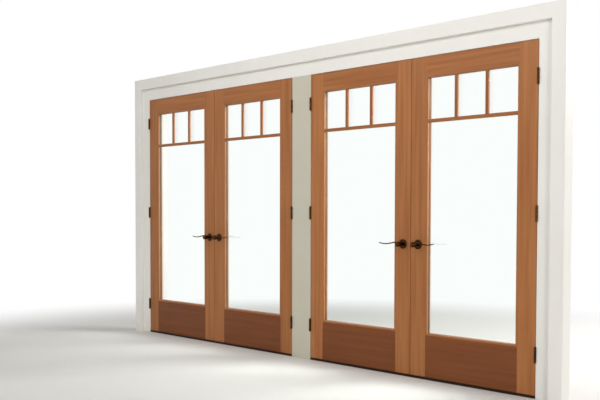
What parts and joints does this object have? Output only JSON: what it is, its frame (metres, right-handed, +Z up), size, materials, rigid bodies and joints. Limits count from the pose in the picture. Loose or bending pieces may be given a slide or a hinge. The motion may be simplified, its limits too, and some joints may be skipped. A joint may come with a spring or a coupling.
{
  "type": "french doors",
  "caption": "French doors: two pairs of stained wood leaves with glass lites that swing into the room, in a painted frame with a centre post, casing, butt hinges and lever handles.",
  "frame": {"origin": "floor level under the middle of the centre post's foot", "axes": "+X to the right seen from the room, +Y from the room to the outside, +Z up"},
  "size_m": [4.2302, 0.261, 2.236],
  "materials": {
    "stained_fir": "stained, satin varnish",
    "trim_paint": "white satin paint",
    "post_paint": "greige satin paint",
    "clear_glass": "clear float glass",
    "dark_bronze": "oil-rubbed dark bronze",
    "bolt_steel": "zinc plated",
    "sill_bronze": "dark bronze anodised",
    "seal_foam": "matt foam skin"
  },
  "bodies": {
    "frame": {"left_jamb": "trim_paint", "right_jamb": "trim_paint", "head_jamb": "trim_paint", "mull_post": "post_paint", "sills": "sill_bronze", "casing_head": "trim_paint", "casing_left": "trim_paint", "casing_right": "trim_paint", "exterior_casing": "trim_paint", "weatherstrips": "seal_foam", "frame_hinge_leaves": "dark_bronze", "hinge_pins": "dark_bronze"},
    "leaf_1": {"leaf_1_hinge_stile": "stained_fir", "leaf_1_lock_stile": "stained_fir", "leaf_1_top_rail": "stained_fir", "leaf_1_bottom_rail": "stained_fir", "leaf_1_bars": "stained_fir", "leaf_1_beads": "stained_fir", "leaf_1_glass": "clear_glass", "leaf_1_hinge_leaves": "dark_bronze", "leaf_1_lockset": "dark_bronze", "leaf_1_astragal": "stained_fir"},
    "lever_1": {"leaf_1_levers": "dark_bronze"},
    "top_bolt_1": {"leaf_1_top_bolt": "bolt_steel"},
    "bottom_bolt_1": {"leaf_1_bottom_bolt": "bolt_steel"},
    "leaf_2": {"leaf_2_hinge_stile": "stained_fir", "leaf_2_lock_stile": "stained_fir", "leaf_2_top_rail": "stained_fir", "leaf_2_bottom_rail": "stained_fir", "leaf_2_bars": "stained_fir", "leaf_2_beads": "stained_fir", "leaf_2_glass": "clear_glass", "leaf_2_hinge_leaves": "dark_bronze", "leaf_2_lockset": "dark_bronze"},
    "lever_2": {"leaf_2_levers": "dark_bronze"},
    "latch_2": {"leaf_2_latch_bolt": "bolt_steel"},
    "leaf_3": {"leaf_3_hinge_stile": "stained_fir", "leaf_3_lock_stile": "stained_fir", "leaf_3_top_rail": "stained_fir", "leaf_3_bottom_rail": "stained_fir", "leaf_3_bars": "stained_fir", "leaf_3_beads": "stained_fir", "leaf_3_glass": "clear_glass", "leaf_3_hinge_leaves": "dark_bronze", "leaf_3_lockset": "dark_bronze", "leaf_3_astragal": "stained_fir"},
    "lever_3": {"leaf_3_levers": "dark_bronze"},
    "top_bolt_3": {"leaf_3_top_bolt": "bolt_steel"},
    "bottom_bolt_3": {"leaf_3_bottom_bolt": "bolt_steel"},
    "leaf_4": {"leaf_4_hinge_stile": "stained_fir", "leaf_4_lock_stile": "stained_fir", "leaf_4_top_rail": "stained_fir", "leaf_4_bottom_rail": "stained_fir", "leaf_4_bars": "stained_fir", "leaf_4_beads": "stained_fir", "leaf_4_glass": "clear_glass", "leaf_4_hinge_leaves": "dark_bronze", "leaf_4_lockset": "dark_bronze"},
    "lever_4": {"leaf_4_levers": "dark_bronze"},
    "latch_4": {"leaf_4_latch_bolt": "bolt_steel"}
  },
  "joints": [
    {"name": "leaf_1_swing", "type": "hinge", "parent": "frame", "child": "leaf_1", "pos_m": [-1.9296, -0.09025, 1.016], "axis": [0, 0, -1], "range_deg": [0, 150]},
    {"name": "lever_1_turn", "type": "hinge", "parent": "leaf_1", "child": "lever_1", "pos_m": [-1.0753, -0.06125, 0.862], "axis": [0, -1, 0], "range_deg": [0, 60], "stiffness_Nm_per_rad": 1.5, "springref_deg": -34.38},
    {"name": "top_bolt_1_slide", "type": "slide", "parent": "leaf_1", "child": "top_bolt_1", "axis": [0, 0, -1], "range_m": [0, 0.0151]},
    {"name": "bottom_bolt_1_slide", "type": "slide", "parent": "leaf_1", "child": "bottom_bolt_1", "axis": [0, 0, 1], "range_m": [0, 0.0151]},
    {"name": "leaf_2_swing", "type": "hinge", "parent": "frame", "child": "leaf_2", "pos_m": [-0.0978, -0.09025, 1.016], "axis": [0, 0, 1], "range_deg": [0, 90]},
    {"name": "lever_2_turn", "type": "hinge", "parent": "leaf_2", "child": "lever_2", "pos_m": [-0.9521, -0.06125, 0.862], "axis": [0, 1, 0], "range_deg": [0, 60], "stiffness_Nm_per_rad": 1.5, "springref_deg": -34.38},
    {"name": "latch_2_slide", "type": "slide", "parent": "leaf_2", "child": "latch_2", "axis": [1, 0, 0], "range_m": [0, 0.0128]},
    {"name": "leaf_3_swing", "type": "hinge", "parent": "frame", "child": "leaf_3", "pos_m": [0.0978, -0.09025, 1.016], "axis": [0, 0, -1], "range_deg": [0, 90]},
    {"name": "lever_3_turn", "type": "hinge", "parent": "leaf_3", "child": "lever_3", "pos_m": [0.9521, -0.06125, 0.862], "axis": [0, -1, 0], "range_deg": [0, 60], "stiffness_Nm_per_rad": 1.5, "springref_deg": -34.38},
    {"name": "top_bolt_3_slide", "type": "slide", "parent": "leaf_3", "child": "top_bolt_3", "axis": [0, 0, -1], "range_m": [0, 0.0151]},
    {"name": "bottom_bolt_3_slide", "type": "slide", "parent": "leaf_3", "child": "bottom_bolt_3", "axis": [0, 0, 1], "range_m": [0, 0.0151]},
    {"name": "leaf_4_swing", "type": "hinge", "parent": "frame", "child": "leaf_4", "pos_m": [1.9296, -0.09025, 1.016], "axis": [0, 0, 1], "range_deg": [0, 150]},
    {"name": "lever_4_turn", "type": "hinge", "parent": "leaf_4", "child": "lever_4", "pos_m": [1.0753, -0.06125, 0.862], "axis": [0, 1, 0], "range_deg": [0, 60], "stiffness_Nm_per_rad": 1.5, "springref_deg": -34.38},
    {"name": "latch_4_slide", "type": "slide", "parent": "leaf_4", "child": "latch_4", "axis": [1, 0, 0], "range_m": [0, 0.0128]}
  ],
  "couplings": [
    {"joint": "top_bolt_1_slide", "follows": "lever_1_turn", "m_per_rad": 0.014324},
    {"joint": "bottom_bolt_1_slide", "follows": "lever_1_turn", "m_per_rad": 0.014324},
    {"joint": "latch_2_slide", "follows": "lever_2_turn", "m_per_rad": 0.012128},
    {"joint": "top_bolt_3_slide", "follows": "lever_3_turn", "m_per_rad": 0.014324},
    {"joint": "bottom_bolt_3_slide", "follows": "lever_3_turn", "m_per_rad": 0.014324},
    {"joint": "latch_4_slide", "follows": "lever_4_turn", "m_per_rad": 0.012128}
  ]
}
